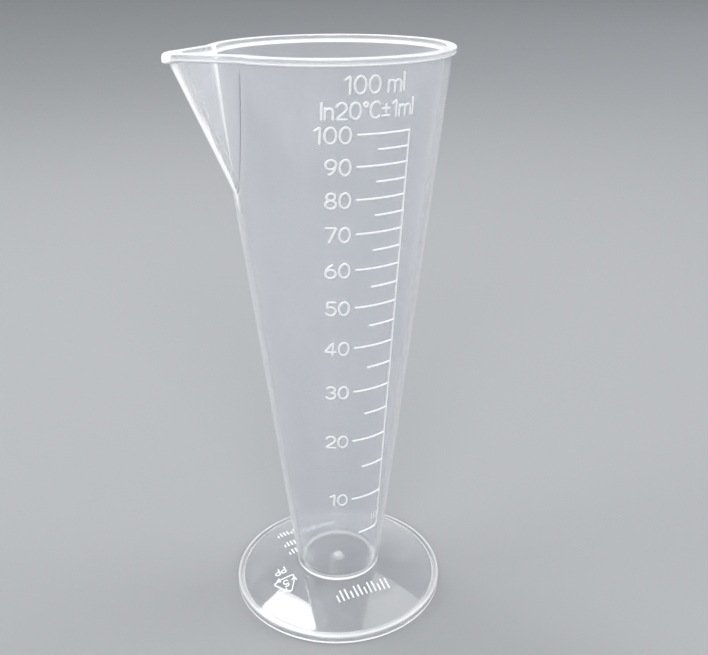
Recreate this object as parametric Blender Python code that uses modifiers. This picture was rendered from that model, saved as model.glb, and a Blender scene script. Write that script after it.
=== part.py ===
"""Conical measuring cup, 100 ml: a tapered pouring cup with a raised scale, set in a domed foot.

The cup's spout points along -X and its scale is on the -Y side. The origin is under the middle of
the whole cup's box, on the surface it stands on; the cup's own axis is a little way along +X.
"""

import math

import bmesh
import bpy

MM = 0.001

# Driving dimensions of the conical vessel. Radii are measured from the cup's axis.
HEIGHT = 137.0 * MM
TOP_RADIUS = 25.65 * MM          # outside of the wall, at the top
BASE_RADIUS = 10.8 * MM          # outside of the wall, where it meets the foot
JUNCTION_HEIGHT = 6.2 * MM       # height of that meeting line
WALL = 1.3 * MM
FLOOR_HEIGHT = 6.6 * MM          # inside floor of the cup
FLOOR_FILLET = 0.4 * MM
GATE_RADIUS = 1.3 * MM           # moulding nub in the middle of the floor
GATE_HEIGHT = 0.5 * MM

# Rim bead.
BEAD_RADIUS = 26.4 * MM
BEAD_DEPTH = 1.5 * MM
BEAD_CHAMFER = 0.35 * MM

# Pouring spout: two flat flanks that meet in a rounded ridge.
SPOUT_REACH = 35.2 * MM          # axis to the ridge, at the top
SPOUT_BEAD_REACH = 35.75 * MM    # axis to the bead, at the tip
SPOUT_APEX_HEIGHT = 106.5 * MM   # where the ridge runs out into the cone
RIDGE_RADIUS = 1.6 * MM
FLANK_SHARE = 0.885              # a flank's angle, out of the angle at which it would just touch the cone
SPOUT_SECTIONS = 7

# Foot.
FOOT_RADIUS = 26.9 * MM
SKIRT_WIDTH = 1.6 * MM
SKIRT_HEIGHT = 2.1 * MM
SKIRT_CHAMFER = 0.4 * MM
DOME_WALL = 1.5 * MM
DOME_RINGS = 6
LEDGE_TOP = 5.0 * MM             # the vessel stands on this ledge inside the foot
LEDGE_RADIUS = 9.2 * MM          # opening under the vessel

# Raised scale on the -Y side. x is measured from the cup's axis.
FULL_VOLUME = 100e-6             # cubic metres
VOLUME_STEP = 5e-6
LINE_X = 6.0 * MM                # upright line, at its lower end
LINE_LEAN = 0.011                # the upright line moves outward by this much per unit of height
LONG_MARK = 8.0 * MM             # length of the 10 ml mark
LONG_MARK_GROWTH = 0.040         # longer by this much per unit of height
SHORT_MARK = 5.6 * MM            # length of the 5 ml mark
SHORT_MARK_GROWTH = 0.016
MARK_WIDTH = 0.5 * MM
MARK_RELIEF = 0.3 * MM

CLEARANCE = 0.3 * MM             # between separate pieces that meet
OVERCUT = 2.0 * MM               # how far a cutter runs past the face it opens
SEGMENTS = 72
RIDGE_STEPS = 4
MARK_SEGMENTS = 6
MERGE_DISTANCE = 0.00001
SHARP_ANGLE = math.radians(32.0)

SLOPE = (TOP_RADIUS - BASE_RADIUS) / (HEIGHT - JUNCTION_HEIGHT)
WALL_ACROSS = WALL * math.hypot(1.0, SLOPE)    # the wall's thickness measured level
AXIS_X = (SPOUT_BEAD_REACH - FOOT_RADIUS) / 2  # centres the whole box on the origin

PLASTIC_COLOUR = (0.80, 0.83, 0.88, 1.0)
FOOT_COLOUR = (0.84, 0.87, 0.91, 1.0)
MARK_COLOUR = (0.93, 0.94, 0.96, 1.0)


def cone_radius(z):
    """Outer radius of the conical wall at a height."""
    return BASE_RADIUS + SLOPE * (z - JUNCTION_HEIGHT)


def inner_radius(z):
    """Inner radius of the conical wall at a height."""
    return cone_radius(z) - WALL_ACROSS


def ridge_reach(z):
    """Distance from the axis to the spout's ridge at a height."""
    apex_reach = cone_radius(SPOUT_APEX_HEIGHT)
    share = (z - SPOUT_APEX_HEIGHT) / (HEIGHT - SPOUT_APEX_HEIGHT)
    return apex_reach + share * (SPOUT_REACH - apex_reach)


def flank_angle(z):
    """Between each flank and the spout's middle plane at a height, seen from above."""
    touching = (cone_radius(z) - RIDGE_RADIUS) / (ridge_reach(z) - RIDGE_RADIUS)
    return FLANK_SHARE * math.asin(min(touching, 1.0))


def dome_height(radius):
    """Height of the foot's upper face, which is part of a sphere's crown."""
    drop = (JUNCTION_HEIGHT - SKIRT_HEIGHT) / (FOOT_RADIUS ** 2 - BASE_RADIUS ** 2)
    return JUNCTION_HEIGHT - drop * (radius ** 2 - BASE_RADIUS ** 2)


def level_of(volume):
    """Height that a volume reaches in the cup: a cone cut short by the floor, turned round."""
    floor_radius = inner_radius(FLOOR_HEIGHT)
    surface_radius = (3 * SLOPE * volume / math.pi + floor_radius ** 3) ** (1 / 3)
    return FLOOR_HEIGHT + (surface_radius - floor_radius) / SLOPE


def line_x(z):
    """Where the scale's upright line stands at a height."""
    return LINE_X + LINE_LEAN * (z - level_of(VOLUME_STEP))


def new_collection(name):
    collection = bpy.data.collections.new(name)
    bpy.context.scene.collection.children.link(collection)
    return collection


def new_plastic(name, colour, roughness):
    """Milky polypropylene."""
    material = bpy.data.materials.new(name)
    material.use_nodes = True
    shader = material.node_tree.nodes["Principled BSDF"]
    shader.inputs["Base Color"].default_value = colour
    shader.inputs["Roughness"].default_value = roughness
    shader.inputs["Metallic"].default_value = 0.0
    material.diffuse_color = colour
    return material


def new_object(name, mesh, collection, axis, material=None):
    """An object whose mesh is drawn round the cup's axis."""
    part = bpy.data.objects.new(name, mesh)
    part.parent = axis
    collection.objects.link(part)
    if material is not None:
        mesh.materials.append(material)
    else:
        part.hide_render = True
        part.display_type = "WIRE"
    return part


def turned(name, profile, collection, axis, material=None, closed=False):
    """A profile of (radius, height) points, listed down its outer side, turned about the axis."""
    mesh = bpy.data.meshes.new(name)
    edges = [(i, i + 1) for i in range(len(profile) - 1)]
    if closed:
        edges.append((len(profile) - 1, 0))
    mesh.from_pydata([(radius, 0.0, z) for radius, z in profile], edges, [])
    part = new_object(name, mesh, collection, axis, material)
    screw = part.modifiers.new("turn", "SCREW")
    screw.steps = SEGMENTS
    screw.render_steps = SEGMENTS
    screw.use_merge_vertices = True
    screw.merge_threshold = MERGE_DISTANCE
    screw.use_smooth_shade = True
    return part


def spout_section(reach, radius, z):
    """A rounded V, seen from above: an arc at the ridge and a straight flank on each side.

    Each flank ends where it comes nearest to the axis, which is inside the cone.
    """
    flank = flank_angle(z)
    centre_x = radius - reach
    half_sweep = math.pi / 2 - flank
    points = []
    for i in range(RIDGE_STEPS + 1):
        turn = math.pi + half_sweep * (1 - 2 * i / RIDGE_STEPS)
        points.append((centre_x + radius * math.cos(turn), radius * math.sin(turn), z))
    length = -centre_x * math.cos(flank)
    run = length * math.cos(flank)
    spread = length * math.sin(flank)
    back = [(x + run, y + math.copysign(spread, y), z) for x, y, z in (points[-1], points[0])]
    return points + back


def spout_solid(name, inset, top, collection, axis):
    """The spout's rounded V, from just below its apex up to a height, set in from its outer face."""
    heights = [SPOUT_APEX_HEIGHT - OVERCUT]
    for i in range(SPOUT_SECTIONS + 1):
        heights.append(SPOUT_APEX_HEIGHT + (top - SPOUT_APEX_HEIGHT) * i / SPOUT_SECTIONS)
    bm = bmesh.new()
    rings = []
    for z in heights:
        section = spout_section(ridge_reach(z) - inset, RIDGE_RADIUS - inset, z)
        rings.append([bm.verts.new(point) for point in section])
    for lower, upper in zip(rings, rings[1:]):
        for i in range(len(lower)):
            j = (i + 1) % len(lower)
            bm.faces.new((lower[i], lower[j], upper[j], upper[i]))
    bm.faces.new(rings[0])
    bm.faces.new(rings[-1])
    bmesh.ops.triangulate(bm, faces=bm.faces)
    bmesh.ops.recalc_face_normals(bm, faces=bm.faces)
    mesh = bpy.data.meshes.new(name)
    bm.to_mesh(mesh)
    bm.free()
    return new_object(name, mesh, collection, axis)


def combine(part, other, operation):
    """Join another solid to the part, or cut it out."""
    boolean = part.modifiers.new(other.name, "BOOLEAN")
    boolean.object = other
    boolean.operation = operation
    boolean.solver = "EXACT"


def keep_result(part):
    """Replace the modifiers by their result, smooth except at its sharp edges."""
    bpy.context.view_layer.update()
    evaluated = part.evaluated_get(bpy.context.evaluated_depsgraph_get())
    mesh = bpy.data.meshes.new_from_object(evaluated)
    part.modifiers.clear()
    part.data = mesh
    mesh.shade_smooth()
    mesh.set_sharp_from_angle(angle=SHARP_ANGLE)


def make_rim_bead(name, collection, axis):
    """The slab behind the rim bead: a disc that runs out into the spout's rounded V."""
    nose = spout_section(SPOUT_BEAD_REACH, RIDGE_RADIUS + BEAD_CHAMFER, HEIGHT - BEAD_DEPTH)[:-2]
    x, y, z = nose[-1]
    along = (math.cos(flank_angle(z)), math.sin(flank_angle(z)))
    inward = -(x * along[0] + y * along[1])
    reach = inward - math.sqrt(inward ** 2 - (x ** 2 + y ** 2 - BEAD_RADIUS ** 2))
    meeting_turn = math.atan2(y + reach * along[1], x + reach * along[0])
    rounds = [meeting_turn * (1 - 2 * i / SEGMENTS) for i in range(SEGMENTS + 1)]
    disc = [(BEAD_RADIUS * math.cos(turn), BEAD_RADIUS * math.sin(turn), z) for turn in rounds]
    bm = bmesh.new()
    outline = bm.faces.new([bm.verts.new(point) for point in nose + disc])
    slab = bmesh.ops.extrude_face_region(bm, geom=[outline])
    raised = [item for item in slab["geom"] if isinstance(item, bmesh.types.BMVert)]
    bmesh.ops.translate(bm, verts=raised, vec=(0.0, 0.0, BEAD_DEPTH))
    bmesh.ops.recalc_face_normals(bm, faces=bm.faces)
    mesh = bpy.data.meshes.new(name)
    bm.to_mesh(mesh)
    bm.free()
    bead = new_object(name, mesh, collection, axis)
    bevel = bead.modifiers.new("round_edges", "BEVEL")
    bevel.width = BEAD_CHAMFER
    bevel.limit_method = "ANGLE"
    bevel.angle_limit = math.radians(80.0)
    return bead


def make_vessel(parts, cutters, axis, plastic):
    """The conical cup with its rim bead and pouring spout."""
    bottom = LEDGE_TOP + CLEARANCE
    wall_top = HEIGHT - BEAD_DEPTH / 2
    spout_top = HEIGHT - BEAD_DEPTH / 3
    outside = [
        (0.0, wall_top),
        (cone_radius(wall_top), wall_top),
        (cone_radius(bottom), bottom),
        (0.0, bottom),
    ]
    vessel = turned("conical_vessel", outside, parts, axis, plastic)

    mouth = HEIGHT + OVERCUT
    fillet_top = FLOOR_HEIGHT + FLOOR_FILLET
    fillet_middle = FLOOR_FILLET * (1 - math.sqrt(0.5))
    inside = [
        (0.0, mouth),
        (inner_radius(mouth), mouth),
        (inner_radius(fillet_top), fillet_top),
        (inner_radius(FLOOR_HEIGHT) - fillet_middle, FLOOR_HEIGHT + fillet_middle),
        (inner_radius(FLOOR_HEIGHT) - FLOOR_FILLET, FLOOR_HEIGHT),
        (GATE_RADIUS, FLOOR_HEIGHT),
        (GATE_RADIUS / 2, FLOOR_HEIGHT + GATE_HEIGHT),
        (0.0, FLOOR_HEIGHT + GATE_HEIGHT),
    ]
    bowl = turned("cut_bowl", inside, cutters, axis)

    outer_spout = spout_solid("add_spout", 0.0, spout_top, cutters, axis)
    channel = spout_solid("cut_spout", WALL_ACROSS, mouth, cutters, axis)

    combine(vessel, outer_spout, "UNION")
    combine(vessel, make_rim_bead("add_rim_bead", cutters, axis), "UNION")
    combine(vessel, bowl, "DIFFERENCE")
    combine(vessel, channel, "DIFFERENCE")
    keep_result(vessel)


def make_foot(parts, axis, plastic):
    """The domed foot: a thin crown with a skirt to stand on and a seat for the vessel."""
    skirt_inner = FOOT_RADIUS - SKIRT_WIDTH
    seat_radius = cone_radius(JUNCTION_HEIGHT) + CLEARANCE
    ledge_bottom = LEDGE_TOP - DOME_WALL
    radii = [seat_radius + (skirt_inner - seat_radius) * i / DOME_RINGS for i in range(DOME_RINGS + 1)]
    crown = [(radius, dome_height(radius)) for radius in radii]
    underside = [(radius, height - DOME_WALL) for radius, height in reversed(crown)]
    profile = crown + [
        (FOOT_RADIUS - SKIRT_CHAMFER, SKIRT_HEIGHT),
        (FOOT_RADIUS, SKIRT_HEIGHT - SKIRT_CHAMFER),
        (FOOT_RADIUS, 0.0),
        (skirt_inner, 0.0),
    ] + underside + [
        (LEDGE_RADIUS + DOME_WALL / 2, ledge_bottom),
        (LEDGE_RADIUS, ledge_bottom),
        (LEDGE_RADIUS, LEDGE_TOP),
        (seat_radius, LEDGE_TOP),
    ]
    foot = turned("foot", profile, parts, axis, plastic, closed=True)
    keep_result(foot)


def make_raised_bar(name, start, end, parts, axis, plastic):
    """A straight raised bar between two (x, height) points, lifted off the cone by the clearance."""
    along = (end[0] - start[0], end[1] - start[1])
    length = math.hypot(*along)
    across = (-along[1] / length * MARK_WIDTH, along[0] / length * MARK_WIDTH)
    bm = bmesh.new()
    bmesh.ops.create_cube(bm, size=1.0)
    lengthwise = [edge for edge in bm.edges if abs(edge.verts[0].co.x - edge.verts[1].co.x) > 0.5]
    bmesh.ops.subdivide_edges(bm, edges=lengthwise, cuts=MARK_SEGMENTS - 1)
    for vert in bm.verts:
        share = vert.co.x + 0.5
        x = start[0] + share * along[0] + vert.co.y * across[0]
        z = start[1] + share * along[1] + vert.co.y * across[1]
        radius = cone_radius(z) + CLEARANCE + MARK_RELIEF * (vert.co.z + 0.5)
        vert.co = (x, -math.sqrt(radius ** 2 - x ** 2), z)
    bmesh.ops.recalc_face_normals(bm, faces=bm.faces)
    mesh = bpy.data.meshes.new(name)
    bm.to_mesh(mesh)
    bm.free()
    new_object(name, mesh, parts, axis, plastic)


def make_scale(parts, axis, plastic):
    """The upright line and one graduation mark for every 5 ml, at the height that volume reaches."""
    low = level_of(VOLUME_STEP)
    high = level_of(FULL_VOLUME)
    make_raised_bar("scale_line", (line_x(low), low), (line_x(high), high), parts, axis, plastic)
    steps = round(FULL_VOLUME / VOLUME_STEP)
    for step in range(1, steps + 1):
        z = level_of(step * VOLUME_STEP)
        if step % 2 == 0:
            length = LONG_MARK + LONG_MARK_GROWTH * (z - level_of(2 * VOLUME_STEP))
        else:
            length = SHORT_MARK + SHORT_MARK_GROWTH * (z - low)
        millilitres = round(step * VOLUME_STEP * 1e6)
        right = line_x(z) - MARK_WIDTH / 2 - CLEARANCE
        left = line_x(z) - length
        make_raised_bar(f"graduation_{millilitres}ml", (left, z), (right, z), parts, axis, plastic)


def main():
    for item in list(bpy.data.objects):
        bpy.data.objects.remove(item, do_unlink=True)
    parts = new_collection("conical_measuring_cup")
    cutters = new_collection("cutters")
    axis = bpy.data.objects.new("cup_axis", None)
    axis.location.x = AXIS_X
    parts.objects.link(axis)

    vessel_plastic = new_plastic("milky_plastic", PLASTIC_COLOUR, 0.30)
    foot_plastic = new_plastic("clear_plastic", FOOT_COLOUR, 0.15)
    mark_plastic = new_plastic("relief_plastic", MARK_COLOUR, 0.35)

    make_vessel(parts, cutters, axis, vessel_plastic)
    make_foot(parts, axis, foot_plastic)
    make_scale(parts, axis, mark_plastic)


main()
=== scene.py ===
"""Looks of the conical measuring cup: fine surfaces, relief, materials, light and camera."""

import math

import bmesh
import bpy
from mathutils import Matrix, Vector


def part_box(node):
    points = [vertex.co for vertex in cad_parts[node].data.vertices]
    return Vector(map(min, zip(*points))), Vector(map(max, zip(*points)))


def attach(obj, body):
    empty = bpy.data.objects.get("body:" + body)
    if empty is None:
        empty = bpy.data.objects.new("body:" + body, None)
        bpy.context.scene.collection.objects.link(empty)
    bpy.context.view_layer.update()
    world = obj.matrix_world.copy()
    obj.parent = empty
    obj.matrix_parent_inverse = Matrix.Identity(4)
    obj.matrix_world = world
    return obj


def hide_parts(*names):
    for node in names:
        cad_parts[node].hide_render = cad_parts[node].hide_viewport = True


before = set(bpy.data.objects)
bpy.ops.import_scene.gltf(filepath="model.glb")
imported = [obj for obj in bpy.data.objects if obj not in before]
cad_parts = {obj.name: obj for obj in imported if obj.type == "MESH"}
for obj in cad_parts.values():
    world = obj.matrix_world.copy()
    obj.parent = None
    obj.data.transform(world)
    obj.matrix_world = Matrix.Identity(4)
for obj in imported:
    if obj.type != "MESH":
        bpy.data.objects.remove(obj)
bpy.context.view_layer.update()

MM = 0.001

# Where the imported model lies.
VESSEL_LOW, VESSEL_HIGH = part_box("conical_vessel")
FOOT_LOW, FOOT_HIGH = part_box("foot")
AXIS_X = (FOOT_LOW[0] + FOOT_HIGH[0]) / 2
HEIGHT = VESSEL_HIGH[2]
BEAD_RADIUS = VESSEL_HIGH[0] - AXIS_X
SPOUT_BEAD_REACH = AXIS_X - VESSEL_LOW[0]
FOOT_RADIUS = (FOOT_HIGH[0] - FOOT_LOW[0]) / 2

# The vessel's own measures.
UNDERSIDE = 4.95 * MM
BEAD_PROUD = 0.75 * MM
BEAD_DEPTH = 1.5 * MM
BEAD_FOOT = HEIGHT - BEAD_DEPTH
BEAD_ROUND = 0.45 * MM
LIP_ROUND = 0.30 * MM
BASE_RADIUS = 10.8 * MM
JUNCTION_HEIGHT = 6.2 * MM
WALL = 1.3 * MM
TOP_RADIUS = BEAD_RADIUS - BEAD_PROUD
SLOPE = (TOP_RADIUS - BASE_RADIUS) / (HEIGHT - JUNCTION_HEIGHT)
WALL_ACROSS = WALL * math.hypot(1.0, SLOPE)     # the wall measured level, not square to itself
FLOOR_HEIGHT = 6.6 * MM
FLOOR_FILLET = 0.4 * MM
GATE_RADIUS = 1.1 * MM
GATE_HEIGHT = 0.65 * MM
GATE_BLEND = 0.05 * MM           # the nub's foot reaches this much past its radius
GATE_STEPS = 7

# The spout.
SPOUT_REACH = 35.2 * MM
SPOUT_APEX_HEIGHT = 106.5 * MM
SPOUT_LEAD = 4 * MM              # where the ridge's line lies deeper inside the cone, there is no spout
RIDGE_RADIUS = 1.6 * MM
FLANK_SHARE = 0.885              # a flank's angle, out of the angle at which it would touch the cone
CREASE_BLEND = 0.3 * MM          # softening where the flanks leave the cone
LEAST_CREASE = math.radians(2.0)

# The ball that the bead swells to at the spout's tip. In each pair below it is full at the
# first place and gone at the second.
TIP_SWELL = 0.55 * MM            # how much deeper the bead is there
TIP_ACROSS = (0.9 * MM, 2.6 * MM)    # from the spout's middle plane
TIP_ALONG = (-24 * MM, -18 * MM)     # along x
TIP_FALL = (BEAD_FOOT + 0.4 * MM, HEIGHT - 0.3 * MM)     # the heights over which it deepens downward

# The wall's mesh, with its steps from the ridge's middle to the ridge's edge, from there to the
# crease's zone, across that zone, and on to the back.
WALL_STEPS = (7, 12, 12, 48)
WALL_GROWTH = (1.0, 1.0, 1.0, 1.3)   # above 1 a stretch's steps grow toward the back
CREASE_ZONE = 1.5 * MM           # steps are finer this far to each side of a crease
ZONE_SHARE = 0.35                # but no further than this share of the crease's angle
RIDGE_SHARE = 0.3                # and the ridge takes up no more than this share of it
LOW_RINGS = 12
LOW_BOTTOM = JUNCTION_HEIGHT + 4 * MM
LOW_BOTTOM_INSIDE = FLOOR_HEIGHT + 3 * MM
LOW_TOP = SPOUT_APEX_HEIGHT - 8 * MM
SPOUT_RINGS = 26
SPOUT_BOTTOM = SPOUT_APEX_HEIGHT - 6 * MM
SPOUT_TOP = BEAD_FOOT - 0.6 * MM
SPOUT_TOP_INSIDE = HEIGHT - 3.2 * MM

# Light painted into the vessel's rings, from 0 to 1: highlights where light catches its edges. Unless
# its line says otherwise, a pair holds the ring's distance in millimetres from the level, rim or wall
# that its name speaks of, and the painted light there.
# Light painted faintly over the cup's floor, top and underside, and a painted highlight under the gate's
# nub.
FLOOR_PAINTED_LIGHT = 0.12
UNDER_GATE_RINGS = ((0.6, 1.0), (1.3, 1.0), (1.6, FLOOR_PAINTED_LIGHT))     # share of the nub's radius, painted light
UNDER_FLOOR_SHARES = (0.3, 0.5, 0.7)                               # of the base's radius
UNDER_EDGE_RINGS = ((1.5, 0.0, FLOOR_PAINTED_LIGHT), (1.0, 0.0, 1.0), (0.4, 0.05, 1.0))     # mm in, mm up, painted light
# A painted highlight round the cup's lower edge, where it meets the foot.
JUNCTION_RINGS = ((-0.8, 1.0), (-0.3, 1.0), (0.0, 1.0), (0.5, 1.0), (0.8, 0.6), (1.1, 0.1), (1.6, 0.0))
# Painted light below the bead, rising into its lower highlight.
UNDER_BEAD_RINGS = ((0.3, 0.0), (0.12, 0.3), (0.04, 0.8))
BEAD_FOOT_LEDGE = 0.2 * MM       # the bead's flat foot, before its lower round
# Painted highlights along the bead's and lip's rounded edges, where light catches them.
BEAD_FOOT_PAINTED_HIGHLIGHT = (0.8, 0.8)
BEAD_LOWER_PAINTED_HIGHLIGHT = (0.8, 1.0, 1.0, 1.0, 1.0, 0.8, 0.3)
BEAD_FACE_PAINTED_LIGHT = 0.03
BEAD_UPPER_PAINTED_HIGHLIGHT = (0.03, 0.05, 0.15, 0.35, 0.45, 0.4, 0.35, 0.3)
LIP_PAINTED_HIGHLIGHT = (0.35, 0.45, 0.45, 0.3, 0.1, 0.0, 0.0)
# A painted bright band inside the wall, just below the rim.
INSIDE_RIM_RINGS = ((0.6, 0.0), (0.8, 0.1), (1.0, 0.5), (1.15, 1.0), (1.5, 1.0), (1.65, 0.6), (1.8, 0.0),
                    (2.2, 0.0))
# A painted highlight running down the inside of the wall into the floor's rounded edge, then the floor's
# painted light.
ABOVE_FLOOR_RINGS = ((1.2, 0.0), (0.8, 0.1), (0.55, 0.6))
FLOOR_RINGS = ((0.6, 0.6), (0.9, FLOOR_PAINTED_LIGHT), (1.3, FLOOR_PAINTED_LIGHT), (3.0, FLOOR_PAINTED_LIGHT), (5.0, FLOOR_PAINTED_LIGHT),
               (7.0, FLOOR_PAINTED_LIGHT))

# Painted light along the spout: highlights on its ridge and far crease, light on its flanks, shade along
# its near crease.
EDGE_FADE = 0.3 * MM             # the edges of bands and lines fade over this width
RIDGE_BAND = 1.5 * MM            # half the width of the painted highlight on the spout's ridge
RIDGE_BAND_LEAST = 0.7           # the share of that width at the apex
RIDGE_BAND_GROWTH = 6 * MM       # the share grows as the spout's depth over this length, up to 1
RIDGE_DEPTH = 1.2                # the band ends this many walls inside the cone's outer face
RIDGE_SKIN = 0.5 * MM            # and fades over this much before that
TIP_WHITE = 0.4 * MM             # how much wider the band is on the bead
TIP_WHITE_FADE = 1 * MM
RIDGE_TAIL = 5 * MM              # how far the band runs on down the cone
RIDGE_TAIL_BAND = (0.6 * MM, 1.2 * MM)
CREASE_LINE = 0.7 * MM           # half the width of the painted highlight along the far crease
CREASE_INSET = 0.5 * MM          # the line's middle lies this far from the crease, on the flank
CREASE_GAP = 0.5 * MM            # a strip of the flank along the crease has no painted light
FLANK_PAINTED_LIGHT = 0.09                # painted light on the flanks, a lighter band
FLANK_PAINTED_LIGHT_PAST = (0.2 * MM, 2.2 * MM)   # the painted light fades out past the crease between these distances
FOLD_SHADE = -1.0                # painted shade, below 0: the outside of the fold on the scale's side is painted darker
FOLD_WIDTH = (0.05 * MM, 0.2 * MM)
FOLD_TOP = (4 * MM, 2.5 * MM)    # the shade fades out between these distances below the rim

# The foot's own measures.
SKIRT_WIDTH = 1.6 * MM
SKIRT_HEIGHT = 2.1 * MM
SKIRT_CROWN = 0.15 * MM          # how far the skirt's rounded top stands above its height
SKIRT_ROUND = 0.45 * MM
HEEL_ROUND = 0.25 * MM
# Painted highlights on the skirt's outer and inner heel.
HEEL_PAINTED_HIGHLIGHT = 1.0
INNER_HEEL_PAINTED_HIGHLIGHT = 0.3
DOME_WALL = 1.5 * MM
DOME_RINGS = 18
DOME_OVERRUN = 0.1 * MM          # how far the dome's outer rings run over the skirt
FOOT_SIDES = 128
FOOT_TURNS = [math.tau * i / FOOT_SIDES for i in range(FOOT_SIDES)]
SEAT_OVERLAP = 0.15 * MM         # how far the foot runs into the vessel's wall, as one moulding
# Painted highlights on the foot's rings. A pair holds millimetres, out over the skirt or up from the
# floor, and painted light.
CROWN_EDGE_RINGS = ((0.4, 0.15), (0.7, 0.22), (0.9, 0.28), (1.05, 0.34))
SKIRT_TOP_PAINTED_HIGHLIGHT = (0.42, 0.44, 0.44, 0.4, 0.32, 0.22, 0.12)
SKIRT_RINGS = ((1.3, 0.05), (0.75, 0.05), (0.6, 1.0))

# Raised marks on the foot's crown. Places are measured from the cup's axis.
CODE_X = -16.4 * MM
CODE_Y = -2.6 * MM
CODE_SIDE = 6.6 * MM
CODE_NUMBER_HEIGHT = 2.0 * MM
CODE_NUMBER_RISE = 0.14          # of the triangle's side
CODE_LETTER_HEIGHT = 2.1 * MM
CODE_LETTER_DROP = 1.9 * MM
CODE_STROKE = 0.36 * MM
CODE_RELIEF = 0.15 * MM
BAR_STROKE = CODE_STROKE * 1.3
FRONT_BARS = 12
FRONT_BARS_X = -6.4 * MM
FRONT_BARS_Y = -16.4 * MM
FRONT_BARS_STEP = 1.25 * MM
FRONT_BARS_HEIGHT = 2.9 * MM
FRONT_BARS_SHORT = 0.6           # every third bar's share of the height
BACK_BARS_X = -11.7 * MM
BACK_BARS_ROWS = ((14.8 * MM, 18), (9.0 * MM, 6), (5.1 * MM, 3))     # each row's y and number of bars
BACK_BARS_STEP = 0.95 * MM
BACK_BARS_HEIGHT = 1.9 * MM
BACK_BARS_SHORT = 0.5            # every fourth bar's share of the height

# Raised marks on the wall. Places are measured from the cup's axis.
MARK_WIDTH = 0.46 * MM
UPRIGHT_WIDTH = 0.40 * MM
UPRIGHT_CORNER = 1.1 * MM        # the bend at the upright line's foot
MARK_RELIEF = 0.28 * MM
MARK_SUNK = 0.06 * MM            # how far a mark's base goes into the wall
NUMERAL_HEIGHT = 3.15 * MM
NUMERAL_STROKE = 0.46 * MM
NUMERAL_RELIEF = 0.20 * MM
NUMERAL_GAP = 1.1 * MM           # between a numeral and its line
SMALL_BARS_X = (4.1 * MM, 4.85 * MM, 5.6 * MM)
SMALL_BARS_FOOT = 23.9 * MM
SMALL_BARS_TOP = 25.9 * MM
SMALL_BARS_SCALE = 0.6           # their stroke and relief, out of a numeral's
# Each row above the scale: name, signs, height, left end, right end, foot.
LABEL_ROWS = (
    ("capacity_label", ("1", "0", "0", " ", "m", "l"), 3.25 * MM, -7.0 * MM, 5.0 * MM, 130.45 * MM),
    ("reading_label", ("I", "n", "2", "0", "deg", "C", "+-", "1", "m", "l"),
     3.1 * MM, -11.0 * MM, 7.5 * MM, 125.7 * MM),
)

# How a raised line is built.
STATION_SPACING = 0.55           # of the line's width
CAP_ANGLES = (88, 66, 44, 22)    # degrees round the rounded ends
SECTION_STEP = 30                # degrees round the rounded top
BOW_STEP = 12                    # degrees along a sign's curves


def cone_radius(z):
    return BASE_RADIUS + SLOPE * (z - JUNCTION_HEIGHT)


def ridge_reach(z):
    apex_reach = cone_radius(SPOUT_APEX_HEIGHT)
    share = (z - SPOUT_APEX_HEIGHT) / (HEIGHT - SPOUT_APEX_HEIGHT)
    return apex_reach + share * (SPOUT_REACH - apex_reach)


# ---------------------------------------------------------------- meshes

def smooth_larger(a, b, blend):
    """The larger of two lengths, rounded over where they are nearly the same."""
    near = max(blend - abs(a - b), 0.0) / blend
    return max(a, b) + near * near * blend / 4


def flank_angle(z, reach):
    """Between the spout's middle plane and its flank at one height, seen from above."""
    touching = (cone_radius(z) - RIDGE_RADIUS) / (reach - RIDGE_RADIUS)
    return FLANK_SHARE * math.asin(min(abs(touching), 1.0))


def ridge_turn(z, reach):
    """The angle from the spout's middle plane at which its rounded ridge runs into the flank."""
    flank = flank_angle(z, reach)
    return math.atan2(RIDGE_RADIUS * math.cos(flank),
                      reach - RIDGE_RADIUS + RIDGE_RADIUS * math.sin(flank))


def crease_turn(z, reach):
    """The angle from the spout's middle plane at which its flank runs into the cone."""
    flank = flank_angle(z, reach)
    nearest = (reach - RIDGE_RADIUS) * math.sin(flank) + RIDGE_RADIUS
    meeting = math.asin(min(max(nearest / cone_radius(z), 0.0), 1.0)) - flank
    return max(meeting, LEAST_CREASE)


def wall_distance(turn, z, reach):
    """From the axis to the outer wall, at an angle from the spout's middle plane."""
    cone = cone_radius(z)
    flank = flank_angle(z, reach)
    aside = abs(math.atan2(math.sin(turn), math.cos(turn)))
    if aside > math.pi / 2 - flank or reach < cone - SPOUT_LEAD:
        return cone
    centre = reach - RIDGE_RADIUS
    if aside < ridge_turn(z, reach):
        across = centre * math.sin(aside)
        spout = centre * math.cos(aside) + math.sqrt(RIDGE_RADIUS ** 2 - across ** 2)
    else:
        corner = centre + RIDGE_RADIUS / math.sin(flank)
        spout = corner * math.sin(flank) / math.sin(flank + aside)
    return smooth_larger(cone, spout, CREASE_BLEND)


def wall_turns(z, reach):
    """Angles round the wall at one height, close together over the spout's ridge and creases."""
    crease = crease_turn(z, reach)
    near = min(CREASE_ZONE / cone_radius(z), crease * ZONE_SHARE)
    ridge = min(ridge_turn(z, reach), crease * RIDGE_SHARE)
    ends = [0.0, ridge, crease - near, crease + near, math.pi]
    half = []
    for start, stop, steps, growth in zip(ends, ends[1:], WALL_STEPS, WALL_GROWTH):
        half += [start + (stop - start) * (i / steps) ** growth for i in range(steps)]
    return half + [math.pi] + [-turn for turn in reversed(half[1:])]


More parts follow.
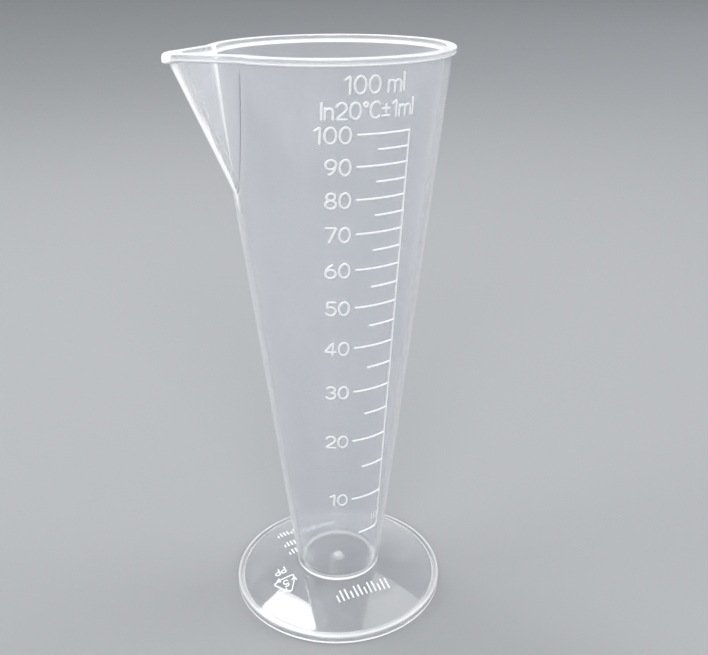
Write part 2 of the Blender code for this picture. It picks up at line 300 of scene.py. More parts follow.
def wall_row(offset, z, outline_z, reach):
    """One level ring: the wall's outline at outline_z, moved out by offset, drawn at height z."""
    outline = []
    for turn in wall_turns(outline_z, reach):
        distance = wall_distance(turn, outline_z, reach)
        outline.append(Vector((-distance * math.cos(turn), -distance * math.sin(turn))))
    row = []
    for i, point in enumerate(outline):
        before = point - outline[i - 1]
        after = outline[(i + 1) % len(outline)] - point
        along = (before.normalized() * after.length + after.normalized() * before.length).normalized()
        outward = Vector((along.y, -along.x))
        moved = point + outward * offset
        row.append((AXIS_X + moved.x, moved.y, z))
    return row


def arc(centre, radius, start, stop, steps):
    """Points (offset, height) along an arc, its angles in degrees from the outward direction."""
    points = []
    for i in range(steps + 1):
        angle = math.radians(start + (stop - start) * i / steps)
        points.append((centre[0] + radius * math.cos(angle), centre[1] + radius * math.sin(angle)))
    return points


def skin(name, rows, painted_light=None, start=None, stop=None):
    """A smooth closed mesh through rows, with a pole before the first and after the last.

    A row is (points, white), white saying how much light is painted there, from 0 to 1. Where
    painted_light(point) is larger, or below 0, which means painted shade, it counts instead. Without
    poles the last row joins the first.
    """
    bm = bmesh.new()
    shade = bm.verts.layers.float.new("painted_light")
    rings = []
    for points, white in rows:
        ring = []
        for point in points:
            vert = bm.verts.new(point)
            # Painted light: above 0 paints white in as highlight, below 0 paints shade.
            added = painted_light(vert.co) if painted_light else 0.0
            vert[shade] = added if added < 0.0 else max(white, added)
            ring.append(vert)
        rings.append(ring)
    pairs = list(zip(rings, rings[1:]))
    if start is None:
        pairs.append((rings[-1], rings[0]))
    for lower, upper in pairs:
        for i in range(len(lower)):
            j = (i + 1) % len(lower)
            bm.faces.new((lower[i], lower[j], upper[j], upper[i]))
    for pole, ring in ((start, rings[0]), (stop, rings[-1])):
        if pole is None:
            continue
        tip = bm.verts.new(pole)
        tip[shade] = ring[0][shade]
        for i in range(len(ring)):
            bm.faces.new((ring[i], ring[(i + 1) % len(ring)], tip))
    bmesh.ops.recalc_face_normals(bm, faces=bm.faces)
    for face in bm.faces:
        face.smooth = True
    mesh = bpy.data.meshes.new(name)
    bm.to_mesh(mesh)
    bm.free()
    piece = bpy.data.objects.new(name, mesh)
    bpy.context.scene.collection.objects.link(piece)
    return piece


def fade(value, full, none):
    """1 at full, 0 at none, smooth between."""
    share = min(max((value - none) / (full - none), 0.0), 1.0)
    return share * share * (3 - 2 * share)


def ridge_milk(point, reach, cone):
    """The painted highlight on the spout's rounded ridge."""
    band = RIDGE_BAND * min(RIDGE_BAND_LEAST + (reach - cone) / RIDGE_BAND_GROWTH, 1.0)
    band += TIP_WHITE * fade(point.z, BEAD_FOOT, BEAD_FOOT - TIP_WHITE_FADE)
    beyond = AXIS_X - point.x - cone + WALL_ACROSS * RIDGE_DEPTH
    return fade(abs(point.y), band, band + EDGE_FADE) * fade(beyond, RIDGE_SKIN, 0.0)


def spout_milk(point):
    """Painted highlight along the spout's ridge and far crease, painted light on its flanks, painted
    shade along its near crease.
    """
    if point.x > AXIS_X:
        return 0.0
    reach = ridge_reach(point.z)
    cone = cone_radius(point.z)
    if reach <= cone:
        tail = fade(point.z, SPOUT_APEX_HEIGHT, SPOUT_APEX_HEIGHT - RIDGE_TAIL)
        return tail * fade(abs(point.y), *RIDGE_TAIL_BAND)
    ridge = ridge_milk(point, reach, cone)
    turn = math.atan2(point.y, AXIS_X - point.x)
    crease = crease_turn(point.z, reach)
    aside = abs((turn - crease) * cone + CREASE_INSET)
    line = fade(aside, CREASE_LINE, CREASE_LINE + EDGE_FADE)
    past = (abs(turn) - crease) * cone
    fold = fade(abs(past), *FOLD_WIDTH) * fade(point.z, HEIGHT - FOLD_TOP[0], HEIGHT - FOLD_TOP[1])
    outside = math.hypot(point.x - AXIS_X, point.y) > cone - WALL_ACROSS / 2
    # Painted shade along the outside of the near fold.
    if point.y < 0 and outside and fold > 0 and ridge == 0 and crease > 2 * LEAST_CREASE:
        return FOLD_SHADE * fold
    if past < 0:
        panel = FLANK_PAINTED_LIGHT * fade(past, -CREASE_GAP - EDGE_FADE, -CREASE_GAP)
    else:
        panel = FLANK_PAINTED_LIGHT * fade(past, *FLANK_PAINTED_LIGHT_PAST)
    return max(ridge, line, panel)


def steps_between(start, stop, count):
    return [start + (stop - start) * i / count for i in range(count + 1)]


def rim_row(offset, z):
    """One ring of the bead: the wall's outline at the rim, swollen to a ball round the spout's tip."""
    reach = SPOUT_BEAD_REACH - BEAD_PROUD
    middle = (HEIGHT + BEAD_FOOT - TIP_SWELL) / 2
    share = min(abs(z - middle) / (HEIGHT - middle), 1.0)
    round_offset = BEAD_PROUD - (1 - math.sqrt(1 - share * share)) * (HEIGHT - middle)
    plain = wall_row(offset, z, HEIGHT, reach)
    ball = wall_row(min(offset, round_offset), z, HEIGHT, reach)
    row = []
    for (x, y, level), (ball_x, ball_y, _) in zip(plain, ball):
        tip = fade(abs(y), *TIP_ACROSS) * fade(x, *TIP_ALONG)
        drop = TIP_SWELL * tip * fade(level, *TIP_FALL)
        row.append((x + (ball_x - x) * tip, y + (ball_y - y) * tip, level - drop))
    return row


def make_vessel():
    """The wall, bead, spout and floor as one skin, from the underside round the rim to the floor."""
    rows = []

    def wall_ring(offset, z, white=0.0):
        rows.append((wall_row(offset, z, z, ridge_reach(z)), white))

    def rim_rings(points, whites):
        for (offset, z), white in zip(points, whites):
            rows.append((rim_row(offset, z), white))

    def level_ring(radius, z, white=0.0):
        rows.append((ring_row(radius, z, wall_turns(JUNCTION_HEIGHT, 0.0)), white))

    for share, white in UNDER_GATE_RINGS:
        level_ring(GATE_RADIUS * share, UNDERSIDE, white)
    for share in UNDER_FLOOR_SHARES:
        level_ring(BASE_RADIUS * share, UNDERSIDE, FLOOR_PAINTED_LIGHT)
    for inward, rise, white in UNDER_EDGE_RINGS:
        level_ring(BASE_RADIUS - inward * MM, UNDERSIDE + rise * MM, white)
    for rise, white in JUNCTION_RINGS:
        wall_ring(0.0, JUNCTION_HEIGHT + rise * MM, white)
    for z in steps_between(LOW_BOTTOM, LOW_TOP, LOW_RINGS):
        wall_ring(0.0, z)
    for z in steps_between(SPOUT_BOTTOM, SPOUT_TOP, SPOUT_RINGS):
        wall_ring(0.0, z)
    for gap, white in UNDER_BEAD_RINGS:
        wall_ring(0.0, BEAD_FOOT - gap * MM, white)

    rim_rings([(0.0, BEAD_FOOT), (BEAD_FOOT_LEDGE, BEAD_FOOT)], BEAD_FOOT_PAINTED_HIGHLIGHT)
    rim_rings(arc((BEAD_PROUD - BEAD_ROUND, BEAD_FOOT + BEAD_ROUND), BEAD_ROUND, -80, 0, 6),
              BEAD_LOWER_PAINTED_HIGHLIGHT)
    rim_rings([(BEAD_PROUD, HEIGHT - BEAD_DEPTH / 2)], (BEAD_FACE_PAINTED_LIGHT,))
    rim_rings(arc((BEAD_PROUD - BEAD_ROUND, HEIGHT - BEAD_ROUND), BEAD_ROUND, 0, 90, 7),
              BEAD_UPPER_PAINTED_HIGHLIGHT)
    rim_rings(arc((LIP_ROUND - WALL_ACROSS, HEIGHT - LIP_ROUND), LIP_ROUND, 90, 180, 6), LIP_PAINTED_HIGHLIGHT)

    for depth, white in INSIDE_RIM_RINGS:
        wall_ring(-WALL_ACROSS, HEIGHT - depth * MM, white)
    for z in reversed(steps_between(SPOUT_BOTTOM, SPOUT_TOP_INSIDE, SPOUT_RINGS)):
        wall_ring(-WALL_ACROSS, z)
    for z in reversed(steps_between(LOW_BOTTOM_INSIDE, LOW_TOP, LOW_RINGS)):
        wall_ring(-WALL_ACROSS, z)
    for rise, white in ABOVE_FLOOR_RINGS:
        wall_ring(-WALL_ACROSS, FLOOR_HEIGHT + rise * MM, white)
    floor_radius = cone_radius(FLOOR_HEIGHT) - WALL_ACROSS
    # A painted highlight on the floor's rounded edge.
    for offset, lift in arc((-FLOOR_FILLET, FLOOR_FILLET), FLOOR_FILLET, -15, -90, 6):
        level_ring(floor_radius + offset, FLOOR_HEIGHT + lift, 1.0)
    for inward, white in FLOOR_RINGS:
        level_ring(floor_radius - inward * MM, FLOOR_HEIGHT, white)
    # The gate's nub is painted white, as a highlight.
    for i in range(GATE_STEPS):
        slant = math.pi / 2 * i / GATE_STEPS
        rise = GATE_HEIGHT * (1 - math.cos(slant * 2)) / 2
        level_ring(GATE_RADIUS * math.cos(slant) + GATE_BLEND, FLOOR_HEIGHT + rise,
                   1.0 if i else FLOOR_PAINTED_LIGHT)
    return skin("vessel_shell", rows, spout_milk, (AXIS_X, 0.0, UNDERSIDE),
                (AXIS_X, 0.0, FLOOR_HEIGHT + GATE_HEIGHT))


def ring_row(radius, z, turns):
    """A level circle about the cup's axis."""
    return [(AXIS_X - radius * math.cos(turn), -radius * math.sin(turn), z) for turn in turns]


def dome_height(radius):
    drop = (JUNCTION_HEIGHT - SKIRT_HEIGHT) / (FOOT_RADIUS ** 2 - BASE_RADIUS ** 2)
    return JUNCTION_HEIGHT - drop * (radius ** 2 - BASE_RADIUS ** 2)


def make_foot():
    """The domed foot: crown, rounded skirt and hollow underside, run into the vessel's wall."""
    seat = cone_radius(JUNCTION_HEIGHT) - SEAT_OVERLAP
    inner = FOOT_RADIUS - SKIRT_WIDTH
    profile = []                     # (radius, height, painted light)
    for radius in steps_between(seat, inner + DOME_OVERRUN, DOME_RINGS):
        profile.append((radius, dome_height(radius), 0.0))
    for step, white in CROWN_EDGE_RINGS:
        profile.append((inner + step * MM, dome_height(inner + step * MM), white))
    centre = (FOOT_RADIUS - SKIRT_ROUND, SKIRT_HEIGHT - SKIRT_ROUND + SKIRT_CROWN)
    for (radius, z), white in zip(arc(centre, SKIRT_ROUND, 80, 0, 6), SKIRT_TOP_PAINTED_HIGHLIGHT):
        profile.append((radius, z, white))
    for height, white in SKIRT_RINGS:
        profile.append((FOOT_RADIUS, height * MM, white))
    for radius, z in arc((FOOT_RADIUS - HEEL_ROUND, HEEL_ROUND), HEEL_ROUND, 0, -90, 4):
        profile.append((radius, z, HEEL_PAINTED_HIGHLIGHT))
    for radius, z in arc((inner + HEEL_ROUND, HEEL_ROUND), HEEL_ROUND, -90, -180, 4):
        profile.append((radius, z, INNER_HEEL_PAINTED_HIGHLIGHT))
    for radius in steps_between(inner, seat, DOME_RINGS):
        profile.append((radius, dome_height(radius) - DOME_WALL, 0.0))
    rows = [(ring_row(radius, z, FOOT_TURNS), white) for radius, z, white in profile]
    return skin("foot_shell", rows)


# ---------------------------------------------------------------- relief

class ConeSurface:
    """The outer wall, addressed by (x from the axis, height) as seen along +Y."""

    @staticmethod
    def point(x, z, lift):
        radius = cone_radius(z) + lift
        return Vector((AXIS_X + x, -math.sqrt(radius ** 2 - x ** 2), z))


class FootSurface:
    """The foot's crown, addressed by plan position (x, y) from the cup's axis."""

    @staticmethod
    def point(x, y, lift):
        return Vector((AXIS_X + x, y, dome_height(math.hypot(x, y)) + lift))


def evenly(path, spacing):
    """The path's points, resampled at an even spacing."""
    lengths = [0.0]
    for a, b in zip(path, path[1:]):
        lengths.append(lengths[-1] + math.dist(a, b))
    count = max(1, round(lengths[-1] / spacing))
    out = []
    j = 0
    for i in range(count + 1):
        target = lengths[-1] * i / count
        while j < len(path) - 2 and lengths[j + 1] < target:
            j += 1
        span = max(lengths[j + 1] - lengths[j], 1e-12)
        share = (target - lengths[j]) / span
        out.append(tuple(path[j][k] + share * (path[j + 1][k] - path[j][k]) for k in (0, 1)))
    return out


def add_ridge(bm, surface, path, width, relief, closed=False):
    """A rounded raised line along a path on a surface, its ends rounded too."""
    half = width / 2
    path = evenly(path, width * STATION_SPACING)
    stations = []
    if closed:
        path = path[:-1]
        for i, point in enumerate(path):
            ahead = path[(i + 1) % len(path)]
            behind = path[i - 1]
            stations.append((point, (ahead[0] - behind[0], ahead[1] - behind[1]), 1.0))
    else:
        first = (path[1][0] - path[0][0], path[1][1] - path[0][1])
        last = (path[-1][0] - path[-2][0], path[-1][1] - path[-2][1])
        for along, point, sign in ((first, path[0], -1), (last, path[-1], 1)):
            size = math.hypot(*along)
            unit = (along[0] / size, along[1] / size)
            caps = []
            for angle in CAP_ANGLES:
                out = half * math.sin(math.radians(angle)) * sign
                spot = (point[0] + unit[0] * out, point[1] + unit[1] * out)
                caps.append((spot, along, math.cos(math.radians(angle))))
            if sign < 0:
                stations += caps
                for i in range(len(path)):
                    a = path[max(i - 1, 0)]
                    b = path[min(i + 1, len(path) - 1)]
                    stations.append((path[i], (b[0] - a[0], b[1] - a[1]), 1.0))
            else:
                stations += caps[::-1]
    rings = []
    for point, along, scale in stations:
        size = math.hypot(*along)
        side = (-along[1] / size, along[0] / size)
        ring = []
        for angle in range(0, 181, SECTION_STEP):
            out = half * scale * math.cos(math.radians(angle))
            lift = relief * scale * math.sin(math.radians(angle))
            ring.append(surface.point(point[0] + side[0] * out, point[1] + side[1] * out, lift))
        for out in (-half * scale, half * scale):
            ring.append(surface.point(point[0] + side[0] * out, point[1] + side[1] * out, -MARK_SUNK))
        rings.append([bm.verts.new(spot) for spot in ring])
    pairs = list(zip(rings, rings[1:]))
    if closed:
        pairs.append((rings[-1], rings[0]))
    for lower, upper in pairs:
        for i in range(len(lower)):
            j = (i + 1) % len(lower)
            bm.faces.new((lower[i], lower[j], upper[j], upper[i]))
    if not closed:
        bm.faces.new(rings[0])
        bm.faces.new(rings[-1])


def relief_piece(name, surface, strokes, width, relief):
    """One piece from several strokes; a stroke is (points, closed)."""
    bm = bmesh.new()
    for path, closed in strokes:
        add_ridge(bm, surface, path, width, relief, closed)
    bmesh.ops.recalc_face_normals(bm, faces=bm.faces)
    for face in bm.faces:
        face.smooth = True
    mesh = bpy.data.meshes.new(name)
    bm.to_mesh(mesh)
    bm.free()
    piece = bpy.data.objects.new(name, mesh)
    bpy.context.scene.collection.objects.link(piece)
    return piece


def bow(cx, cy, rx, ry, start, stop):
    """Points on an ellipse's arc, angles in degrees."""
    count = max(4, round(abs(stop - start) / BOW_STEP))
    angles = [math.radians(start + (stop - start) * i / count) for i in range(count + 1)]
    return [(cx + rx * math.cos(a), cy + ry * math.sin(a)) for a in angles]


# Each sign is drawn in a box one unit high: its width, then its strokes as (points, closed).
SIGNS = {
    "0": (0.66, [(bow(0.33, 0.5, 0.33, 0.5, 0, 360), True)]),
    "1": (0.34, [([(0.0, 0.80), (0.28, 1.0), (0.28, 0.0)], False)]),
    "2": (0.62, [(bow(0.31, 0.70, 0.30, 0.30, 165, -38) + [(0.0, 0.0), (0.62, 0.0)], False)]),
    "3": (0.60, [(bow(0.29, 0.76, 0.27, 0.24, 150, -80), False),
                 (bow(0.29, 0.27, 0.31, 0.27, 80, -150), False)]),
    "4": (0.66, [([(0.47, 0.0), (0.47, 1.0), (0.0, 0.27), (0.66, 0.27)], False)]),
    "5": (0.60, [([(0.56, 1.0), (0.10, 1.0), (0.05, 0.56)]
                  + bow(0.29, 0.32, 0.31, 0.32, 125, -150), False)]),
    "6": (0.62, [(bow(0.31, 0.30, 0.31, 0.30, 0, 360), True),
                 (bow(0.62, 0.30, 0.62, 0.70, 176, 112), False)]),
    "7": (0.60, [([(0.0, 1.0), (0.60, 1.0), (0.20, 0.0)], False)]),
    "8": (0.62, [(bow(0.31, 0.76, 0.25, 0.24, 0, 360), True),
                 (bow(0.31, 0.26, 0.31, 0.26, 0, 360), True)]),
    "9": (0.62, [(bow(0.31, 0.70, 0.31, 0.30, 0, 360), True),
                 (bow(0.0, 0.70, 0.62, 0.70, -4, -68), False)]),
    "m": (0.86, [([(0.0, 0.0), (0.0, 0.68)], False),
                 (bow(0.215, 0.46, 0.215, 0.22, 180, 0) + [(0.43, 0.0)], False),
                 (bow(0.645, 0.46, 0.215, 0.22, 180, 0) + [(0.86, 0.0)], False)]),
    "n": (0.46, [([(0.0, 0.0), (0.0, 0.68)], False),
                 (bow(0.23, 0.45, 0.23, 0.23, 180, 0) + [(0.46, 0.0)], False)]),
    "l": (0.0, [([(0.0, 0.0), (0.0, 1.05)], False)]),
    "I": (0.0, [([(0.0, 0.0), (0.0, 1.0)], False)]),
    "C": (0.62, [(bow(0.36, 0.5, 0.36, 0.5, 48, 312), False)]),
    "P": (0.56, [([(0.0, 0.0), (0.0, 1.0)] + bow(0.28, 0.75, 0.28, 0.25, 90, -90)
                  + [(0.0, 0.5)], False)]),
    "deg": (0.24, [(bow(0.12, 0.86, 0.12, 0.14, 0, 360), True)]),
    "+-": (0.50, [([(0.0, 0.55), (0.50, 0.55)], False), ([(0.25, 0.30), (0.25, 0.80)], False),
                  ([(0.0, 0.10), (0.50, 0.10)], False)]),
    " ": (0.12, []),
}
SIGN_SPACE = 0.20


def line_of_signs(signs, height, space=SIGN_SPACE):
    """The strokes of a row of signs, starting at the origin, and the row's width."""
    strokes = []
    pen = 0.0
    for sign in signs:
        width, shapes = SIGNS[sign]
        for points, closed in shapes:
            strokes.append(([((pen + x) * height, y * height) for x, y in points], closed))
        pen += width + space
    return strokes, (pen - space) * height


def fitted_signs(signs, height, width):
    """A row of signs spaced out to a given width."""
    drawn = sum(SIGNS[sign][0] for sign in signs)
    return line_of_signs(signs, height, (width / height - drawn) / (len(signs) - 1))[0]


def placed(strokes, dx, dy):
    return [([(x + dx, y + dy) for x, y in points], closed) for points, closed in strokes]


def line_x(z):
    """The upright line's x from the axis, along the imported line's own lean."""
    low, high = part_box("scale_line")
    lower_x = low[0] - AXIS_X + MARK_WIDTH / 2
    upper_x = high[0] - AXIS_X - MARK_WIDTH / 2
    return lower_x + (upper_x - lower_x) * (z - low[2]) / (high[2] - low[2])


def mark_level(millilitres):
    low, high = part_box(f"graduation_{millilitres}ml")
    return (low[2] + high[2]) / 2


def make_scale(material):
    """The upright line and the graduation lines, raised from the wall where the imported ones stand."""
    bottom = mark_level(5)
    top = mark_level(100)
    foot_x = line_x(bottom)
    turn = arc((foot_x - UPRIGHT_CORNER, bottom + UPRIGHT_CORNER), UPRIGHT_CORNER, -80, 0, 4)
    upright = [(foot_x, bottom + UPRIGHT_CORNER), (line_x(top), top)]
    line = relief_piece("scale_line_relief", ConeSurface, [(turn + upright, False)],
                        UPRIGHT_WIDTH, MARK_RELIEF)
    finish(line, material)
    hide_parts("scale_line")
    for millilitres in range(5, 101, 5):
        node = f"graduation_{millilitres}ml"
        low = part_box(node)[0]
        z = mark_level(millilitres)
        left = low[0] - AXIS_X + MARK_WIDTH / 2
        right = line_x(z) if millilitres > 5 else foot_x - UPRIGHT_CORNER
        mark = relief_piece(f"line_{millilitres}ml", ConeSurface, [([(left, z), (right, z)], False)],
                            MARK_WIDTH, MARK_RELIEF)
        finish(mark, material)
        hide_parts(node)


def make_numerals(material):
    for millilitres in range(10, 101, 10):
        z = mark_level(millilitres)
        strokes, width = line_of_signs(str(millilitres), NUMERAL_HEIGHT)
        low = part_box(f"graduation_{millilitres}ml")[0]
        left = low[0] - AXIS_X - NUMERAL_GAP - width
        strokes = placed(strokes, left, z - NUMERAL_HEIGHT / 2)
        piece = relief_piece(f"numeral_{millilitres}", ConeSurface, strokes,
                             NUMERAL_STROKE, NUMERAL_RELIEF)
        finish(piece, material)


def make_unit_labels(material):
    """Two rows above the scale, the capacity and how it is read, and small bars by its lowest lines."""
    for name, signs, height, left, right, foot in LABEL_ROWS:
        strokes = placed(fitted_signs(signs, height, right - left), left, foot)
        piece = relief_piece(name, ConeSurface, strokes, NUMERAL_STROKE, NUMERAL_RELIEF)
        finish(piece, material)
    bars = [([(x, SMALL_BARS_FOOT), (x, SMALL_BARS_TOP)], False) for x in SMALL_BARS_X]
    piece = relief_piece("small_bars", ConeSurface, bars, NUMERAL_STROKE * SMALL_BARS_SCALE,
                         NUMERAL_RELIEF * SMALL_BARS_SCALE)
    finish(piece, material)


def half_turned(strokes, dx, dy):
    """Strokes turned upside down, so that they read from behind the cup, and moved into place."""
    return [([(dx - x, dy - y) for x, y in points], closed) for points, closed in strokes]


def chasing_triangle(side):
    """Three bent arrows round a triangle, standing on the middle of its base.

    The points below are shares of the triangle's side, measured from its centre.
    """
    centre_height = math.sqrt(0.75) / 3
    base = -centre_height
    shaft = [(-0.33, base), (0.27, base)]
    head = [(0.17, base - 0.09), (0.29, base), (0.17, base + 0.09)]
    bend = [(-0.33, base), (-0.40, base + 0.05), (-0.36, base + 0.14)]
    strokes = []
    for i in range(3):
        angle = math.radians(120 * i)
        c, s = math.cos(angle), math.sin(angle)
        for points in (shaft, head, bend):
            turned = [(side * (c * x - s * y), side * (s * x + c * y + centre_height))
                      for x, y in points]
            strokes.append((turned, False))
    return strokes


def make_foot_marks(material):
    """A plastic-type code beside the cone, and rows of plain bars where lettering would be."""
    code = chasing_triangle(CODE_SIDE)
    five, width = line_of_signs("5", CODE_NUMBER_HEIGHT)
    code += placed(five, -width / 2, CODE_SIDE * CODE_NUMBER_RISE)
    letters, width = line_of_signs("PP", CODE_LETTER_HEIGHT)
    code += placed(letters, -width / 2, -CODE_LETTER_HEIGHT - CODE_LETTER_DROP)
    code = half_turned(code, CODE_X, CODE_Y)
    piece = relief_piece("plastic_type_code", FootSurface, code, CODE_STROKE, CODE_RELIEF)
    finish(piece, material)

    front = []
    for i in range(FRONT_BARS):
        x = FRONT_BARS_X + i * FRONT_BARS_STEP
        tall = FRONT_BARS_HEIGHT * (1.0 if i % 3 else FRONT_BARS_SHORT)
        front.append(([(x, FRONT_BARS_Y), (x, FRONT_BARS_Y + tall)], False))
    piece = relief_piece("front_bars", FootSurface, front, BAR_STROKE, CODE_RELIEF)
    finish(piece, material)

    back = []
    for y, count in BACK_BARS_ROWS:
        for i in range(count):
            x = BACK_BARS_X + i * BACK_BARS_STEP
            tall = BACK_BARS_HEIGHT * (1.0 if i % 4 else BACK_BARS_SHORT)
            back.append(([(x, y), (x, y + tall)], False))
    piece = relief_piece("back_bars", FootSurface, back, BAR_STROKE, CODE_RELIEF)
    finish(piece, material)


def finish(piece, material):
    """Give a piece its material and its body."""
    piece.data.materials.append(material)
    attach(piece, "root")


# ---------------------------------------------------------------- materials

IOR = 1.49
SHEEN = 0.35
PAINTED_LIGHT_CLEAR = 0.06                    # share of light let through where the painted light is full: painted highlights read white
STREAK_SCALE = 170.0
STREAK_DETAIL = 5.0
STREAK_DRAW = (1.0, 1.0, 0.18)   # streaks are drawn out along the height
STREAK_SPAN = (0.3, 0.7)         # the part of the streaks' range that changes haze and gloss
STREAK_TINT = (0.96, 0.97, 0.985)
STREAK_HAZE = 0.02               # how much they change the share of light let through
STREAK_GLOSS = (0.8, 1.25)       # and what they multiply the roughness by
RIPPLE_SCALE = 110.0
RIPPLE_DETAIL = 1.5
# The colour of painted highlights.
PURE_WHITE = (1.0, 1.0, 1.0, 1.0)
SHADED = (0.3, 0.31, 0.33, 1.0)  # painted shade colour, where the painted light is -1
SHELL_COLOUR = (0.955, 0.963, 0.975, 1.0)
RAISED_COLOUR = (0.96, 0.965, 0.975, 1.0)
SOFT_RAISED_COLOUR = (0.95, 0.96, 0.97, 1.0)
FLOOR_COLOUR = (0.27, 0.275, 0.282, 1.0)
FLOOR_ROUGHNESS = 0.6


def plastic(name, colour, clear, roughness, waviness):
    """Translucent polypropylene: see-through, with white painted in as highlights where painted light is
    above 0.

    clear is the share of light let through where there is no painted light, and waviness the height
    of the slow ripples that moulding leaves in the surface. Painted light below 0 paints shade instead.
    """
    material = bpy.data.materials.new(name)
    material.use_nodes = True
    nodes = material.node_tree.nodes
    links = material.node_tree.links
    shader = nodes["Principled BSDF"]
    shader.inputs["IOR"].default_value = IOR
    shader.inputs["Sheen Weight"].default_value = SHEEN
    shader.inputs["Sheen Roughness"].default_value = SHEEN

    def mixed(factor, below, above):
        """A colour between two, each given as a colour or as another node's output."""
        mix = nodes.new("ShaderNodeMix")
        mix.data_type = "RGBA"
        links.new(factor, mix.inputs["Factor"])
        for socket, value in (("A", below), ("B", above)):
            if isinstance(value, tuple):
                mix.inputs[socket].default_value = value
            else:
                links.new(value, mix.inputs[socket])
        return mix.outputs["Result"]

    def mapped(value, start, stop, low, high):
        """A number from low to high, as value goes from start to stop; low may be a node's output."""
        span = nodes.new("ShaderNodeMapRange")
        links.new(value, span.inputs["Value"])
        span.inputs["From Min"].default_value = start
        span.inputs["From Max"].default_value = stop
        span.inputs["To Max"].default_value = high
        if isinstance(low, float):
            span.inputs["To Min"].default_value = low
        else:
            links.new(low, span.inputs["To Min"])
        return span.outputs["Result"]

    where = nodes.new("ShaderNodeTexCoord")
    drawn = nodes.new("ShaderNodeMapping")
    drawn.inputs["Scale"].default_value = STREAK_DRAW
    links.new(where.outputs["Object"], drawn.inputs["Vector"])
    streaks = nodes.new("ShaderNodeTexNoise")
    streaks.inputs["Scale"].default_value = STREAK_SCALE
    streaks.inputs["Detail"].default_value = STREAK_DETAIL
    links.new(drawn.outputs["Vector"], streaks.inputs["Vector"])
    ripples = nodes.new("ShaderNodeTexNoise")
    ripples.inputs["Scale"].default_value = RIPPLE_SCALE
    ripples.inputs["Detail"].default_value = RIPPLE_DETAIL
    links.new(where.outputs["Object"], ripples.inputs["Vector"])
    painted_light = nodes.new("ShaderNodeAttribute")
    painted_light.attribute_name = "painted_light"

    streaked = tuple(part * share for part, share in zip(colour, STREAK_TINT)) + (1.0,)
    tint = mixed(streaks.outputs["Fac"], colour, streaked)
    # Painted light from the painted_light attribute: highlights toward white, shade toward SHADED.
    whiter = mixed(painted_light.outputs["Fac"], tint, PURE_WHITE)
    shade = mapped(painted_light.outputs["Fac"], 0.0, -1.0, 0.0, 1.0)
    links.new(mixed(shade, whiter, SHADED), shader.inputs["Base Color"])

    haze = mapped(streaks.outputs["Fac"], *STREAK_SPAN, clear - STREAK_HAZE, clear + STREAK_HAZE)
    # Painted highlights let little light through.
    passing = mapped(painted_light.outputs["Fac"], 0.0, 1.0, haze, PAINTED_LIGHT_CLEAR)
    links.new(passing, shader.inputs["Transmission Weight"])
    gloss = mapped(streaks.outputs["Fac"], *STREAK_SPAN, *(roughness * part for part in STREAK_GLOSS))
    links.new(gloss, shader.inputs["Roughness"])

    bump = nodes.new("ShaderNodeBump")
    bump.inputs["Strength"].default_value = 1.0
    bump.inputs["Distance"].default_value = waviness
    links.new(ripples.outputs["Fac"], bump.inputs["Height"])
    links.new(bump.outputs["Normal"], shader.inputs["Normal"])
    return material


def studio_floor():
    material = bpy.data.materials.new("studio_floor")
    material.use_nodes = True
    shader = material.node_tree.nodes["Principled BSDF"]
    shader.inputs["Base Color"].default_value = FLOOR_COLOUR
    shader.inputs["Roughness"].default_value = FLOOR_ROUGHNESS
    shader.inputs["Specular IOR Level"].default_value = 0.0
    return material


# ---------------------------------------------------------------- stage

CAMERA_DISTANCE = 191.5 * MM     # from the cup's axis, level
CAMERA_HEIGHT = 155.05 * MM
CAMERA_BEARING = math.radians(-112.02)
CAMERA_PITCH = math.radians(23.365)
CAMERA_YAW = math.radians(1.364)
CAMERA_ROLL = math.radians(-0.292)
CAMERA_LENS = 44.35
CAMERA_SENSOR = 36.0
CAMERA_NEAR = 0.01               # nothing nearer than this is drawn, in metres
FLOOR_SIZE = 40.0                # half the floor's side, in metres
WORLD_COLOUR = (0.86, 0.88, 0.91, 1.0)
WORLD_STRENGTH = 0.95
MIDDLE = (AXIS_X, 0.0, 70 * MM)
# Soft lights: name, place, the point it faces, size, power, colour.
LIGHTS = (
    ("window", (-0.135, 0.32, 0.70), (0.0, 0.0, 0.0), (0.19, 0.36), 2.0, (1.0, 1.0, 1.0)),
    ("ceiling", (0.30, 0.22, 0.72), MIDDLE, (0.66, 0.4), 1.6, (1.0, 0.98, 0.96)),
    ("front", (-1.0, -2.4, 1.5), MIDDLE, (2.4, 1.0), 60.0, (1.0, 1.0, 1.0)),
    ("right", (2.2, -0.4, 1.4), MIDDLE, (1.6, 1.0), 24.0, (0.95, 0.97, 1.0)),
    ("left", (-2.5, 0.7, 1.4), MIDDLE, (1.6, 0.9), 24.0, (1.0, 1.0, 1.0)),
)


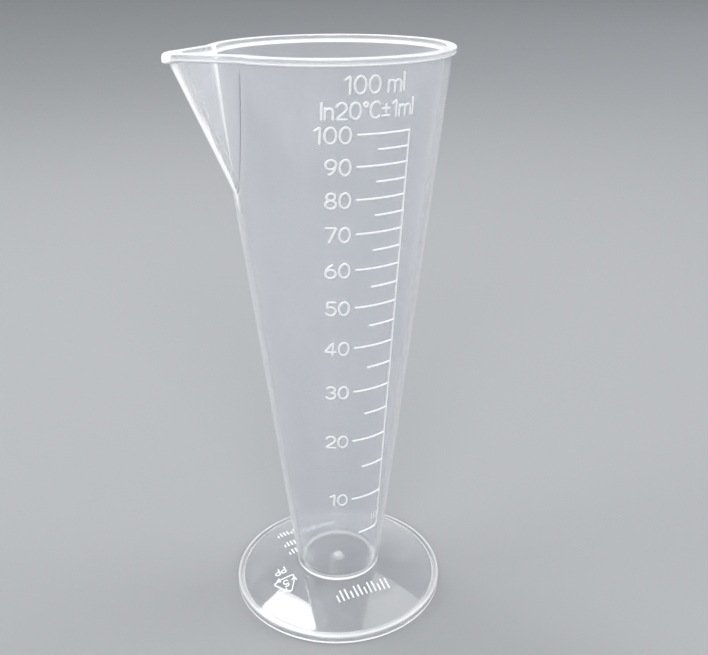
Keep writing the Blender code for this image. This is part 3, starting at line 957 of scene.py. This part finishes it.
def make_camera():
    data = bpy.data.cameras.new("camera")
    data.lens = CAMERA_LENS
    data.sensor_width = CAMERA_SENSOR
    data.clip_start = CAMERA_NEAR
    camera = bpy.data.objects.new("camera", data)
    place = Vector((AXIS_X + CAMERA_DISTANCE * math.cos(CAMERA_BEARING),
                    CAMERA_DISTANCE * math.sin(CAMERA_BEARING), CAMERA_HEIGHT))
    heading = CAMERA_BEARING + math.pi / 2 - CAMERA_YAW
    camera.matrix_world = (Matrix.Translation(place)
                           @ Matrix.Rotation(heading, 4, "Z")
                           @ Matrix.Rotation(math.pi / 2 - CAMERA_PITCH, 4, "X")
                           @ Matrix.Rotation(CAMERA_ROLL, 4, "Z"))
    bpy.context.scene.collection.objects.link(camera)
    bpy.context.scene.camera = camera


def make_floor():
    bm = bmesh.new()
    bmesh.ops.create_grid(bm, x_segments=8, y_segments=8, size=FLOOR_SIZE)
    mesh = bpy.data.meshes.new("floor")
    bm.to_mesh(mesh)
    bm.free()
    floor = bpy.data.objects.new("floor", mesh)
    bpy.context.scene.collection.objects.link(floor)
    floor.data.materials.append(studio_floor())


def make_light(name, place, target, size, power, colour):
    data = bpy.data.lights.new(name, "AREA")
    data.shape = "RECTANGLE"
    data.size = size[0]
    data.size_y = size[1]
    data.energy = power
    data.color = colour
    light = bpy.data.objects.new(name, data)
    aim = (Vector(target) - Vector(place)).to_track_quat("-Z", "Y")
    light.matrix_world = Matrix.Translation(Vector(place)) @ aim.to_matrix().to_4x4()
    bpy.context.scene.collection.objects.link(light)


def make_lights():
    for light in LIGHTS:
        make_light(*light)
    world = bpy.data.worlds.new("studio")
    world.use_nodes = True
    background = world.node_tree.nodes["Background"]
    background.inputs["Color"].default_value = WORLD_COLOUR
    background.inputs["Strength"].default_value = WORLD_STRENGTH
    bpy.context.scene.world = world
    bpy.context.scene.view_settings.view_transform = "Standard"


def main():
    make_camera()
    milky = plastic("milky_polypropylene", SHELL_COLOUR, clear=0.90, roughness=0.07,
                    waviness=0.010 * MM)
    clear = plastic("clear_polypropylene", SHELL_COLOUR, clear=0.88, roughness=0.04,
                    waviness=0.014 * MM)
    raised = plastic("raised_polypropylene", RAISED_COLOUR, clear=0.25, roughness=0.35,
                     waviness=0.004 * MM)
    soft_raised = plastic("soft_raised_polypropylene", SOFT_RAISED_COLOUR, clear=0.30, roughness=0.30,
                          waviness=0.004 * MM)
    vessel = make_vessel()
    finish(vessel, milky)
    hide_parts("conical_vessel")
    foot = make_foot()
    finish(foot, clear)
    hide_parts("foot")
    make_scale(raised)
    make_numerals(soft_raised)
    make_unit_labels(soft_raised)
    make_foot_marks(raised)
    make_floor()
    make_lights()


main()
